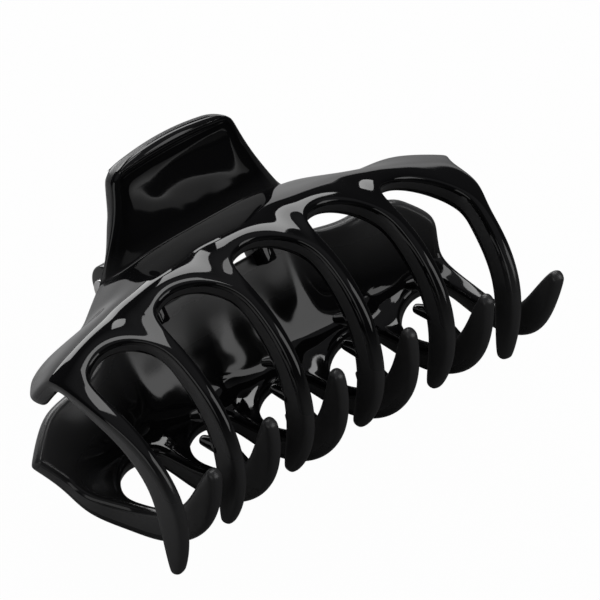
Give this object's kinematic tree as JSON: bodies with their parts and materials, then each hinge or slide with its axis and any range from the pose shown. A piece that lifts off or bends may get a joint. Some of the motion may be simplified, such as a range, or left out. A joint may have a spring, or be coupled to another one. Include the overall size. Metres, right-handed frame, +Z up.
{
  "type": "claw hair clip",
  "caption": "Large glossy black claw hair clip: two identical toothed jaws with thumb handles, turning on a steel pin and closed by a torsion spring.",
  "frame": {"origin": "on the floor under the centre of the clip's box, with the clip lying on its lower jaw", "axes": "+X along the hinge pin, +Y from the teeth to the handles, +Z up"},
  "size_m": [0.0868, 0.0554, 0.047],
  "materials": {
    "jaw_plastic": "polished black injection moulding",
    "pin_steel": "drawn wire with upset heads",
    "spring_steel": "bright spring wire"
  },
  "bodies": {
    "lower_jaw": {"lower_jaw": "jaw_plastic", "hinge_pin": "pin_steel", "torsion_spring": "spring_steel"},
    "upper_jaw": {"upper_jaw": "jaw_plastic"}
  },
  "joints": [
    {"name": "jaw_hinge", "type": "hinge", "parent": "lower_jaw", "child": "upper_jaw", "pos_m": [0, 0.01929, 0.02315], "axis": [-1, 0, 0], "range_deg": [0, 55], "stiffness_Nm_per_rad": 0.2, "springref_deg": -2.86, "deforming": ["torsion_spring"]}
  ]
}
